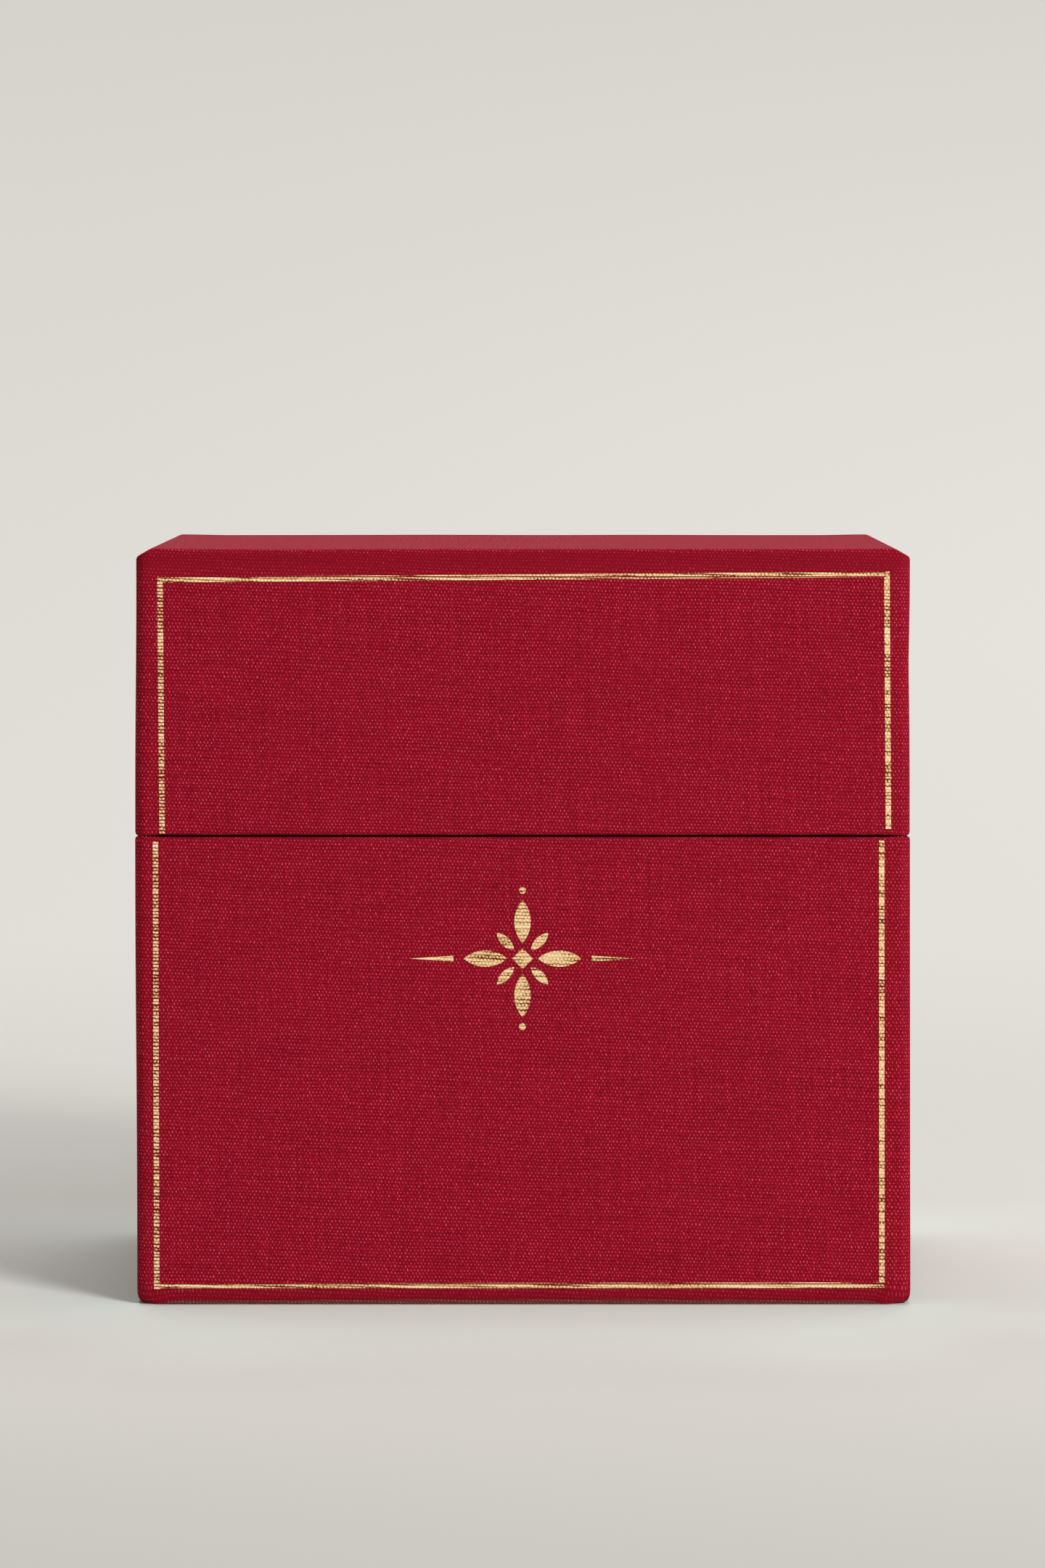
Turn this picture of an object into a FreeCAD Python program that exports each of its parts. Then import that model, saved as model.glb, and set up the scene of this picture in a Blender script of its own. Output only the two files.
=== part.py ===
import FreeCAD
import Part
import Sketcher
import math
import os

# A cloth-covered card box with a flip-top lid. X runs across the front, Y from the front to the back and
# Z up; the origin is the middle of the underside.

doc = FreeCAD.newDocument("CardBox")

# ---------------------------------------------------------------- driving sizes, in millimetres and degrees
sizes = {
    "boxWidth": 170,            # outside, left to right
    "boxDepth": 110,            # outside, front to back
    "boxHeight": 166.6,         # foot plate to lid top
    "rimHeight": 103.05,        # top of the base's rim
    "partingGap": 0.5,          # open line between base and lid
    "cornerRadius": 1.8,        # upright outer corners of the cloth
    "rimRound": 0.8,            # soft edge of the cloth at both rims
    "topRound": 0.9,            # soft edge of the cloth along the lid's top, front and back
    "lidBevelRun": 3.4,         # pressed-down side edges of the lid's top, measured inwards
    "lidBevelDrop": 2.0,        # and measured down
    "cloth": 0.5,               # book cloth
    "paper": 0.2,               # lining paper
    "baseBoard": 2.5,           # greyboard of the base
    "turnIn": 12,               # cloth folded in behind each rim
    "turnUnder": 14,            # cloth folded in under the floor
    "clothLap": 7,              # side cloth that runs round onto the back
    "backSeamDrop": 8,          # lid cloth that laps down over the back cloth
    "plateBoard": 1.0,          # foot plate
    "plateCloth": 0.4,
    "plateInset": 2.8,          # foot plate behind the walls, all round
    "plateCorner": 1.2,
    "neckBoard": 1.6,           # inner tray
    "neckRise": 12,             # how far it stands above the rim
    "neckClearance": 0.5,       # between the neck and the lid's turned-in cloth
    "neckLean": 0.6,            # how far the front neck's upper edge leans back, for the lid's swing
    "neckLap": 8,               # neck paper behind the base's rim
    "backNeckDrop": 3,          # the back neck board stops below the rim
    "stripHeight": 14,          # inner hinge strip, on each wall
    "cardGap": 4.5,             # beside the cards, each side
    "headRoom": 8,              # above the tabs
    "cardFloorGap": 0.3,        # under the lowest card edge
    "cardLidGap": 1.0,          # between the rearmost card and the lid's back wall
    "cardNeckGap": 0.3,         # between the rearmost card and the back neck's edge
    "cardThickness": 0.35,
    "cardPitch": 0.45,          # card to card in a loose pack
    "cardCount": 18,            # cards behind each divider
    "dividerThickness": 0.6,
    "dividerGap": 0.2,          # between a divider and its cards
    "sectionGap": 0.8,          # between one section and the next
    "tabHeight": 11,
    "tabWidth": 27,
    "tabCorner": 2.5,
    "sectionCount": 5,
    "foilThickness": 0.04,      # gold film, stamped on the front
    "foilWidth": 1.2,
    "foilSideInset": 5.2,       # box side to the middle of the upright lines
    "foilTopInset": 6.3,        # lid top to the middle of the level line
    "foilBottomInset": 2.9,     # lower edge of the base's cloth to the middle of the level line
    "foilRimGap": 0.8,          # lines end short of the rims
    "foilLidShift": 0.2,        # the lid's frame is stamped a little off the middle, and turned
    "foilLidTurn": 0.42,
    "foilBaseShift": -0.7,
    "foilBaseTurn": 0.1,
    "ornamentHeight": 76.4,     # middle of the ornament above the table
    "lozengeReach": 2.3,        # middle to the lozenge's points
    "petalStart": 3.4,          # middle to a petal's inner point
    "petalLength": 9.5,
    "petalWidth": 3.6,
    "leafStart": 2.6,           # the smaller petals between them
    "leafLength": 5.4,
    "leafWidth": 2.0,
    "ruleStart": 15.2,          # the tapering rules on both sides
    "ruleLength": 9.5,
    "ruleWidth": 1.3,
    "dotRadius": 0.75,
    "dotReach": 15,             # middle to the dots above and below
}
sheet = doc.addObject("Spreadsheet::Sheet", "Sizes")
for row, (alias, size) in enumerate(sizes.items(), start=1):
    sheet.set(f"A{row}", alias)
    sheet.set(f"B{row}", str(size))
    sheet.setAlias(f"B{row}", alias)

# ------------------------------------------------- places that follow from the sizes, in a second sheet
places = {
    "boardX": "Sizes.boxWidth / 2 - Sizes.cloth",                   # outer faces of the boards
    "boardY": "Sizes.boxDepth / 2 - Sizes.cloth",
    "boardCorner": "Sizes.cornerRadius - Sizes.cloth",
    "baseX": "boardX - Sizes.baseBoard",                            # inner faces of the base boards
    "baseY": "boardY - Sizes.baseBoard",
    "tuckX": "baseX - Sizes.cloth",                                 # inner faces of the base turn-in
    "tuckY": "baseY - Sizes.cloth",
    "lidBoard": "Sizes.baseBoard - Sizes.neckClearance",
    "lidX": "boardX - lidBoard",                                    # inner faces of the lid boards
    "lidY": "boardY - lidBoard",
    "lidTuckX": "lidX - Sizes.cloth",
    "lidTuckY": "lidY - Sizes.cloth",
    "neckThickness": "Sizes.neckBoard + 2 * Sizes.paper",
    "neckX": "tuckX - neckThickness",                               # clear inside of the tray
    "neckY": "tuckY - neckThickness",
    "plateTop": "Sizes.plateBoard + Sizes.plateCloth",
    "floorUnder": "plateTop + Sizes.cloth",
    "floorBoardTop": "floorUnder + Sizes.baseBoard",
    "floorTop": "floorBoardTop + Sizes.paper",
    "wallTop": "Sizes.rimHeight - Sizes.cloth",
    "lidRim": "Sizes.rimHeight + Sizes.partingGap",
    "lidWallUnder": "lidRim + Sizes.cloth",
    "hingeHeight": "Sizes.rimHeight + Sizes.partingGap / 2",
    "lidBoardTop": "Sizes.boxHeight - Sizes.cloth",
    "lidBoardUnder": "lidBoardTop - lidBoard",
    "ceiling": "lidBoardUnder - Sizes.paper",
    "seam": "Sizes.boxHeight - Sizes.backSeamDrop",
    "neckTop": "Sizes.rimHeight + Sizes.neckRise",
    "backNeckTop": "Sizes.rimHeight - Sizes.backNeckDrop",
    "bevelSlope": "sqrt(Sizes.lidBevelRun ^ 2 + Sizes.lidBevelDrop ^ 2)",
    "boardBevelRun": "Sizes.lidBevelRun - Sizes.cloth * (1 + (Sizes.lidBevelRun - bevelSlope)"
                     " / Sizes.lidBevelDrop)",
    "boardBevelDrop": "Sizes.lidBevelDrop - Sizes.cloth * (1 - (bevelSlope - Sizes.lidBevelDrop)"
                      " / Sizes.lidBevelRun)",
    "dividerHeight": "ceiling - floorTop - Sizes.headRoom",
    "cardHeight": "dividerHeight - Sizes.tabHeight",
    "cardWidth": "2 * (neckX - Sizes.cardGap)",
    "packThickness": "(Sizes.cardCount - 1) * Sizes.cardPitch + Sizes.cardThickness",
    "sectionThickness": "Sizes.dividerThickness + Sizes.dividerGap + packThickness",
    "leanRun": "lidTuckY - Sizes.cardLidGap - (neckY - Sizes.cardNeckGap)",
    "leanRise": "floorTop + cardHeight - backNeckTop",
    "leanTangent": "leanRun / leanRise",
    "leanSecant": "sqrt(1 + leanTangent ^ 2)",
    "cardFloor": "floorTop + Sizes.cardFloorGap + sectionThickness * leanTangent / leanSecant",
    "rearFoot": "neckY - Sizes.cardNeckGap - (backNeckTop - cardFloor) * leanTangent",
    "sectionPitch": "(sectionThickness + Sizes.sectionGap) * leanSecant",
    "tabPitch": "(cardWidth - Sizes.tabWidth) / (Sizes.sectionCount - 1)",
}
worked = doc.addObject("Spreadsheet::Sheet", "Places")
for row, (alias, formula) in enumerate(places.items(), start=1):
    worked.set(f"A{row}", alias)
    worked.set(f"B{row}", "=" + formula.replace("Sizes.", "<<Sizes>>."))
    worked.setAlias(f"B{row}", alias)
    doc.recompute()


def spelled(formula):
    """The same formula with each size and place under its sheet's name, as an expression needs it."""
    words = []
    word = ""
    for letter in str(formula) + " ":
        if letter.isalnum():
            word += letter
            continue
        if word in sizes:
            word = "<<Sizes>>." + word
        elif word in places:
            word = "<<Places>>." + word
        words.append(word + letter)
        word = ""
    return "".join(words).strip()


def number(formula):
    return float(worked.evalExpression(spelled(formula)))


# --------------------------------------------------------------------------------- how pieces are built
pieces = []


def newBody(name, x="0", y="0", z="0", kept=True):
    body = doc.addObject("PartDesign::Body", name)
    body.Label = name
    if kept:
        pieces.append(body)
    for axis, place in zip("xyz", (x, y, z)):
        body.setExpression("Placement.Base." + axis, spelled(place))
    return body


def newSketch(body, plane, lift=None):
    sketch = body.newObject("Sketcher::SketchObject", body.Name + "Sketch")
    support = next(part for part in body.Origin.OriginFeatures if part.Role == plane)
    sketch.AttachmentSupport = [(support, "")]
    sketch.MapMode = "FlatFace"
    if lift is not None:
        sketch.setExpression("AttachmentOffset.Base.z", spelled(lift))
    return sketch


def drawRectangle(sketch, wide, tall, acrossAt="0", upAt="0"):
    """A rectangle about a centre, held by its four sides' distances from the origin."""
    left, right = f"({acrossAt}) - ({wide}) / 2", f"({acrossAt}) + ({wide}) / 2"
    low, high = f"({upAt}) - ({tall}) / 2", f"({upAt}) + ({tall}) / 2"
    drawOutline(sketch, [(left, low), (right, low), (right, high), (left, high)])


def hold(sketch, kind, geometry, point, formula, name):
    """Holds one point's distance from the origin, across or up, to a formula."""
    index = sketch.addConstraint(Sketcher.Constraint(kind, -1, 1, geometry, point, number(formula)))
    sketch.renameConstraint(index, name)
    sketch.setExpression("Constraints." + name, spelled(formula))


def drawRounded(sketch, wide, deep, radius):
    """A rectangle about the origin with round corners: four sides, and an arc that ends each of them."""
    x, y, r = number(wide) / 2, number(deep) / 2, number(radius)
    corners = [(x, -y), (x, y), (-x, y), (-x, -y)]
    centres = [FreeCAD.Vector(cx - math.copysign(r, cx), cy - math.copysign(r, cy), 0) for cx, cy in corners]
    quarter = math.pi / 2
    arcs = [Part.ArcOfCircle(Part.Circle(centre, FreeCAD.Vector(0, 0, 1), r), (turn - 1) * quarter,
                             turn * quarter) for turn, centre in enumerate(centres)]
    for turn, arc in enumerate(arcs):
        sketch.addGeometry(Part.LineSegment(arcs[turn - 1].EndPoint, arc.StartPoint), False)
    for arc in arcs:
        sketch.addGeometry(arc, False)
    for turn in range(4):
        sketch.addConstraint(Sketcher.Constraint("Tangent", turn, 2, 4 + turn, 1))
        sketch.addConstraint(Sketcher.Constraint("Tangent", 4 + turn, 2, (turn + 1) % 4, 1))
        sketch.addConstraint(Sketcher.Constraint("Vertical" if turn % 2 else "Horizontal", turn))
    for turn in range(1, 4):
        sketch.addConstraint(Sketcher.Constraint("Equal", 4, 4 + turn))
    index = sketch.addConstraint(Sketcher.Constraint("Radius", 4, r))
    sketch.renameConstraint(index, "corner")
    sketch.setExpression("Constraints.corner", spelled(radius))
    hold(sketch, "DistanceY", 0, 1, f"-({deep}) / 2", "front")
    hold(sketch, "DistanceX", 1, 1, f"({wide}) / 2", "right")
    hold(sketch, "DistanceY", 2, 1, f"({deep}) / 2", "back")
    hold(sketch, "DistanceX", 3, 1, f"-({wide}) / 2", "left")


def drawOutline(sketch, points):
    """A closed outline of straight runs through the points, each one placed by two formulas."""
    first = sketch.GeometryCount
    spots = [FreeCAD.Vector(number(across), number(up), 0) for across, up in points]
    count = len(points)
    for step, spot in enumerate(spots):
        sketch.addGeometry(Part.LineSegment(spot, spots[(step + 1) % count]), False)
    for step in range(count):
        here, following = first + step, first + (step + 1) % count
        sketch.addConstraint(Sketcher.Constraint("Coincident", here, 2, following, 1))
    for step, (across, up) in enumerate(points):
        hold(sketch, "DistanceX", first + step, 1, across, f"across{first + step}")
        hold(sketch, "DistanceY", first + step, 1, up, f"up{first + step}")


def pad(body, sketch, length, both=False):
    feature = body.newObject("PartDesign::Pad", body.Name + "Pad")
    feature.Profile = sketch
    if both:
        feature.SideType = "Symmetric"
    feature.setExpression("Length", spelled(length))
    doc.recompute()
    return feature


def pocket(body, sketch, length, both=False):
    """Cuts from the sketch towards its normal's positive side, or to both sides."""
    before = body.Shape.Volume
    feature = body.newObject("PartDesign::Pocket", body.Name + "Pocket")
    feature.Profile = sketch
    feature.Reversed = not both
    if both:
        feature.SideType = "Symmetric"
    feature.setExpression("Length", spelled(length))
    doc.recompute()
    if body.Shape.Volume >= before - 1e-6:
        raise RuntimeError(f"{feature.Name} in {body.Label} cuts nothing")
    return feature


def roundEdges(body, radius, wanted):
    """Rounds those edges of the body as it stands whose ends and middle pass the test."""
    tip = body.Tip
    names = [f"Edge{index}" for index, edge in enumerate(tip.Shape.Edges, start=1) if wanted(edge)]
    if not names:
        raise RuntimeError(f"no edge to round in {body.Label}")
    feature = body.newObject("PartDesign::Fillet", body.Name + "Fillet")
    feature.Base = (tip, names)
    feature.setExpression("Radius", spelled(radius))
    doc.recompute()
    return feature


def near(value, target):
    return abs(value - target) < 1e-4


def direction(edge):
    if edge.Curve.TypeId != "Part::GeomLine":
        return ""
    along = edge.Vertexes[-1].Point - edge.Vertexes[0].Point
    for axis, size in zip("XYZ", along):
        if near(abs(size), along.Length):
            return axis
    return ""


def middle(edge):
    return edge.CenterOfMass


def levelAt(height):
    """A test for the edges that lie level at a height."""
    return lambda edge: near(edge.BoundBox.ZMin, height) and near(edge.BoundBox.ZMax, height)


def uprightAt(x, y):
    """A test for upright edges that stand at plus or minus x and y."""
    def wanted(edge):
        spot = middle(edge)
        return direction(edge) == "Z" and near(abs(spot.x), x) and near(abs(spot.y), y)
    return wanted


def board(name, wide, deep, tall, x="0", y="0", z="0", corners=None):
    """A flat rectangular piece with its middle at x, y and its underside at z."""
    body = newBody(name, x, y, z)
    sketch = newSketch(body, "XY_Plane")
    drawRectangle(sketch, wide, deep)
    pad(body, sketch, tall)
    if corners is not None:
        roundEdges(body, corners[0], corners[1])
    return body


def strip(name, plane, points, length, x="0", y="0"):
    """A folded piece of even section: the section is drawn across and up, and runs along the plane's normal."""
    body = newBody(name, x, y)
    sketch = newSketch(body, plane)
    drawOutline(sketch, points)
    pad(body, sketch, length, both=True)
    return body


# ------------------------------------------------------------------------------------------ the base
def outerCorners(side):
    """A test for the two upright edges on the outer side, front (-1) or back (+1), of a full-width board."""
    def wanted(edge):
        return direction(edge) == "Z" and middle(edge).y * side > 0
    return wanted


def allUprights(edge):
    return direction(edge) == "Z"


def makeBaseBoards():
    board("base_floor_board", "2 * boardX", "2 * boardY", "baseBoard", z="floorUnder",
          corners=("boardCorner", allUprights))
    wallHeight = "wallTop - floorBoardTop"
    for name, side in (("base_front_board", -1), ("base_back_board", 1)):
        board(name, "2 * boardX", "baseBoard", wallHeight, y=f"{side} * (boardY - baseBoard / 2)",
              z="floorBoardTop", corners=("boardCorner", outerCorners(side)))
    for name, side in (("base_left_board", -1), ("base_right_board", 1)):
        board(name, "baseBoard", "2 * baseY", wallHeight, x=f"{side} * (boardX - baseBoard / 2)",
              z="floorBoardTop")


def addTurnIn(body, low, x, y, tuckX, tuckY):
    """The cloth folded in behind the boards, as a ring that hangs from the cloth over the rim."""
    ring = newSketch(body, "XY_Plane", low)
    drawRectangle(ring, f"2 * {x}", f"2 * {y}")
    drawRectangle(ring, f"2 * {tuckX}", f"2 * {tuckY}")
    pad(body, ring, "turnIn")


def cutBackWindow(body, low, tall):
    """Leaves the side cloth's laps on the back and takes out what the back cloth covers instead."""
    window = newSketch(body, "XY_Plane", low)
    drawRectangle(window, "boxWidth - 2 * clothLap", "turnUnder", "0", "boxDepth / 2 - turnUnder / 2")
    pocket(body, window, tall)


def makeBaseCover():
    """One wrap of cloth round the front and sides, folded in behind the rim and under the floor."""
    body = newBody("base_cover_cloth")
    block = newSketch(body, "XY_Plane", "plateTop")
    drawRounded(block, "boxWidth", "boxDepth", "cornerRadius")
    pad(body, block, "rimHeight - plateTop")
    roundEdges(body, "rimRound", levelAt(number("rimHeight")))
    roundEdges(body, "rimRound", levelAt(number("plateTop")))

    cavity = newSketch(body, "XY_Plane", "floorUnder")
    drawRounded(cavity, "2 * boardX", "2 * boardY", "boardCorner")
    pocket(body, cavity, "wallTop - floorUnder")

    mouth = newSketch(body, "XY_Plane", "wallTop")
    drawRectangle(mouth, "2 * tuckX", "2 * tuckY")
    pocket(body, mouth, "cloth")
    addTurnIn(body, "rimHeight - turnIn", "baseX", "baseY", "tuckX", "tuckY")

    underneath = newSketch(body, "XY_Plane", "plateTop")
    drawRectangle(underneath, "boxWidth - 2 * turnUnder", "boxDepth - 2 * turnUnder")
    pocket(body, underneath, "cloth")
    cutBackWindow(body, "plateTop", "rimHeight - plateTop")


def makeBackCloth():
    """The cloth that carries the hinge: up the back from under the floor, over the fold, up the lid."""
    wide = "boxWidth - 2 * clothLap"
    back, inside = "boxDepth / 2", "boardY"
    strip("back_cloth_lower", "YZ_Plane", [
        (back, "hingeHeight"), (inside, "hingeHeight"), (inside, "floorUnder"),
        ("boxDepth / 2 - turnUnder", "floorUnder"), ("boxDepth / 2 - turnUnder", "plateTop"),
        ("boxDepth / 2 - cloth", "plateTop"), (back, "floorUnder")], wide)
    strip("back_cloth_upper", "YZ_Plane", [
        (back, "hingeHeight"), (back, "seam"), (inside, "seam"), (inside, "hingeHeight")], wide)


def makeHingeStrip():
    """The inner strip: each leaf lies on a wall's inner face and folds out over its rim to the back cloth."""
    wide = "boxWidth - 2 * clothLap"
    strip("hinge_strip_lower", "YZ_Plane", [
        ("boardY", "rimHeight"), ("tuckY", "rimHeight"), ("tuckY", "rimHeight - stripHeight"),
        ("baseY", "rimHeight - stripHeight"), ("baseY", "wallTop"), ("boardY", "wallTop")], wide)
    strip("hinge_strip_upper", "YZ_Plane", [
        ("boardY", "lidRim"), ("boardY", "lidWallUnder"), ("lidY", "lidWallUnder"),
        ("lidY", "lidRim + stripHeight"), ("lidTuckY", "lidRim + stripHeight"), ("lidTuckY", "lidRim")], wide)


def makeFootPlate():
    plateX, plateY = "boxWidth - 2 * plateInset", "boxDepth - 2 * plateInset"
    boardWide, boardDeep = f"{plateX} - 2 * plateCloth", f"{plateY} - 2 * plateCloth"
    board("foot_plate_board", boardWide, boardDeep, "plateBoard", z="plateCloth",
          corners=("plateCorner - plateCloth", allUprights))
    cover = board("foot_plate_cloth", plateX, plateY, "plateTop", corners=("plateCorner", allUprights))
    recess = newSketch(cover, "XY_Plane", "plateCloth")
    drawRectangle(recess, boardWide, boardDeep)
    pocket(cover, recess, "plateBoard")
    roundEdges(cover, "plateCorner - plateCloth",
               uprightAt(number(f"({boardWide}) / 2"), number(f"({boardDeep}) / 2")))


def makeNeck():
    """The inner tray: four boards behind the base walls, three of them standing above the rim."""
    outer, inner = "tuckY - paper", "neckY + paper"
    boardTop, lean = "neckTop - paper", "neckLean"
    strip("neck_front_board", "YZ_Plane", [
        (f"-({outer})", "floorTop"), (f"-({inner})", "floorTop"), (f"-({inner})", boardTop),
        (f"-({outer}) + {lean}", boardTop), (f"-({outer})", "rimHeight")], "2 * (tuckX - paper)")
    strip("neck_front_paper", "YZ_Plane", [
        (f"-({inner})", "floorTop"), ("-neckY", "floorTop"), ("-neckY", "neckTop"),
        (f"-tuckY + {lean}", "neckTop"), ("-tuckY", "rimHeight"), ("-tuckY", "rimHeight - neckLap"),
        (f"-({outer})", "rimHeight - neckLap"), (f"-({outer})", "rimHeight"),
        (f"-({outer}) + {lean}", boardTop), (f"-({inner})", boardTop)], "2 * (tuckX - paper)")
    board("neck_back_board", "2 * (tuckX - paper)", "neckBoard", "backNeckTop - paper - floorTop",
          y="tuckY - paper - neckBoard / 2", z="floorTop")
    strip("neck_back_paper", "YZ_Plane", [
        (inner, "floorTop"), (inner, "backNeckTop - paper"), ("tuckY - paper", "backNeckTop - paper"),
        ("tuckY - paper", "backNeckTop"), ("neckY", "backNeckTop"), ("neckY", "floorTop")],
        "2 * (tuckX - paper)")
    for name, side in (("left", -1), ("right", 1)):
        board(f"neck_{name}_board", "neckBoard", "2 * neckY", "neckTop - paper - floorTop",
              x=f"{side} * (tuckX - paper - neckBoard / 2)", z="floorTop")
        out, back = f"{side} * (tuckX - paper)", f"{side} * (neckX + paper)"
        strip(f"neck_{name}_paper", "XZ_Plane", [
            (back, "floorTop"), (f"{side} * neckX", "floorTop"), (f"{side} * neckX", "neckTop"),
            (f"{side} * tuckX", "neckTop"), (f"{side} * tuckX", "rimHeight - neckLap"),
            (out, "rimHeight - neckLap"), (out, "neckTop - paper"), (back, "neckTop - paper")],
            "2 * neckY")
    board("floor_paper", "2 * (baseX - cloth)", "2 * (baseY - cloth)", "paper", z="floorBoardTop")


# ------------------------------------------------------------------------------------------- the lid
def lidSection(x, under, run, drop, top):
    """Half-width x, with the two upper edges pressed down by run and drop."""
    return [(f"-({x})", under), (x, under), (x, f"{top} - {drop}"), (f"{x} - {run}", top),
            (f"-({x}) + {run}", top), (f"-({x})", f"{top} - {drop}")]


def makeLidBoards():
    bevelledBlock("lid_top_board", "boardX", "boardY", "lidBoardUnder", "boardBevelRun", "boardBevelDrop",
                  "lidBoardTop", "boardCorner")
    wallHeight = "lidBoardUnder - lidWallUnder"
    for name, side in (("lid_front_board", -1), ("lid_back_board", 1)):
        board(name, "2 * boardX", "lidBoard", wallHeight, y=f"{side} * (boardY - lidBoard / 2)",
              z="lidWallUnder", corners=("boardCorner", outerCorners(side)))
    for name, side in (("lid_left_board", -1), ("lid_right_board", 1)):
        board(name, "lidBoard", "2 * lidY", wallHeight, x=f"{side} * (boardX - lidBoard / 2)",
              z="lidWallUnder")


def bevelledBlock(name, x, y, under, run, drop, top, radius, kept=True):
    """A block over the whole plan whose upper side edges are pressed down, with round upright corners."""
    body = newBody(name, kept=kept)
    block = newSketch(body, "XZ_Plane")
    drawOutline(block, lidSection(x, under, run, drop, top))
    pad(body, block, f"2 * ({y})", both=True)
    roundEdges(body, radius, uprightAt(number(x), number(y)))
    return body


def makeLidCover():
    """One wrap of cloth over the lid's top, front and sides, folded in behind the rim."""
    body = bevelledBlock("lid_cover_cloth", "boxWidth / 2", "boxDepth / 2", "lidRim", "lidBevelRun",
                         "lidBevelDrop", "boxHeight", "cornerRadius")
    roundEdges(body, "rimRound", levelAt(number("lidRim")))
    top = number("boxHeight")
    roundEdges(body, "topRound", lambda edge: direction(edge) == "X" and near(middle(edge).z, top))
    hollow = bevelledBlock("lidHollow", "boardX", "boardY", "lidWallUnder", "boardBevelRun",
                           "boardBevelDrop", "lidBoardTop", "boardCorner", kept=False)
    cut = body.newObject("PartDesign::Boolean", "lidCoverHollow")
    cut.Type = "Cut"
    cut.addObject(hollow)
    doc.recompute()

    mouth = newSketch(body, "XY_Plane", "lidRim")
    drawRectangle(mouth, "2 * lidTuckX", "2 * lidTuckY")
    pocket(body, mouth, "cloth")
    addTurnIn(body, "lidRim", "lidX", "lidY", "lidTuckX", "lidTuckY")
    cutBackWindow(body, "lidRim", "seam - lidRim")


def makeLidLinings():
    board("lid_ceiling_paper", "2 * lidX", "2 * lidY", "paper", z="ceiling")
    under = "lidRim + turnIn"
    board("lid_front_paper", "2 * lidX", "paper", f"ceiling - ({under})", y="-(lidY - paper / 2)", z=under)
    board("lid_back_paper", "2 * lidX", "paper", "ceiling - lidRim - stripHeight",
          y="lidY - paper / 2", z="lidRim + stripHeight")
    for name, side in (("left", -1), ("right", 1)):
        board(f"lid_{name}_paper", "paper", "2 * (lidY - paper)", f"ceiling - ({under})",
              x=f"{side} * (lidX - paper / 2)", z=under)


# ------------------------------------------------------------------------------------ gold on the front
def foilFrame(name, shift, turn, points, z):
    """A line of film along three sides of the front, drawn about the box's middle, then shifted and turned."""
    body = newBody(name, shift, "-boxDepth / 2", z)
    outline = newSketch(body, "XZ_Plane")
    drawOutline(outline, points)
    pad(body, outline, "foilThickness")
    body.Placement.Rotation = FreeCAD.Rotation(FreeCAD.Vector(0, -1, 0), 1)
    body.setExpression("Placement.Rotation.Angle", spelled(turn))
    return body


def makeFoilLines():
    out, into = "boxWidth / 2 - foilSideInset + foilWidth / 2", "boxWidth / 2 - foilSideInset - foilWidth / 2"
    lidFall = "boxHeight - foilTopInset - lidRim - foilRimGap"
    foilFrame("foil_line_lid", "foilLidShift", "foilLidTurn", [
        (f"-({out})", f"-({lidFall})"), (f"-({into})", f"-({lidFall})"), (f"-({into})", "-foilWidth / 2"),
        (into, "-foilWidth / 2"), (into, f"-({lidFall})"), (out, f"-({lidFall})"), (out, "foilWidth / 2"),
        (f"-({out})", "foilWidth / 2")], "boxHeight - foilTopInset")
    baseRise = "rimHeight - foilRimGap - plateTop - foilBottomInset"
    foilFrame("foil_line_base", "foilBaseShift", "foilBaseTurn", [
        (f"-({out})", "-foilWidth / 2"), (out, "-foilWidth / 2"), (out, baseRise), (into, baseRise),
        (into, "foilWidth / 2"), (f"-({into})", "foilWidth / 2"), (f"-({into})", baseRise),
        (f"-({out})", baseRise)], "plateTop + foilBottomInset")


def petalRing(body, start, length, width, turned):
    """Four pointed petals about the ornament's middle, each between two equal arcs."""
    sketch = newSketch(body, "XZ_Plane")
    low, high, half = number(start), number(f"{start} + {length}"), number(width) / 2
    ends = FreeCAD.Vector(0, low, 0), FreeCAD.Vector(0, high, 0)
    for side in (1, -1):
        sketch.addGeometry(Part.Arc(ends[0], FreeCAD.Vector(side * half, (low + high) / 2, 0), ends[1]), False)
    sketch.addConstraint(Sketcher.Constraint("Coincident", 0, 1, 1, 2))
    sketch.addConstraint(Sketcher.Constraint("Coincident", 0, 2, 1, 1))
    sketch.addConstraint(Sketcher.Constraint("Equal", 0, 1))
    sketch.addConstraint(Sketcher.Constraint("PointOnObject", 0, 1, -2))
    sketch.addConstraint(Sketcher.Constraint("PointOnObject", 0, 2, -2))
    hold(sketch, "DistanceY", 0, 1, start, "start")
    hold(sketch, "DistanceY", 0, 2, f"{start} + {length}", "tip")
    index = sketch.addConstraint(Sketcher.Constraint("Radius", 0, sketch.Geometry[0].Radius))
    sketch.renameConstraint(index, "bow")
    sketch.setExpression("Constraints.bow", spelled(f"(({length}) ^ 2 + ({width}) ^ 2) / (4 * ({width}))"))
    if turned:
        sketch.AttachmentOffset = FreeCAD.Placement(FreeCAD.Vector(), FreeCAD.Rotation(45, 0, 0))
    petal = pad(body, sketch, "foilThickness")
    ring = body.newObject("PartDesign::PolarPattern", body.Name + "Ring")
    ring.Originals = [petal]
    ring.Axis = (sketch, ["N_Axis"])
    ring.Angle = 360
    ring.Occurrences = 4
    body.Tip = ring
    doc.recompute()


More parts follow.
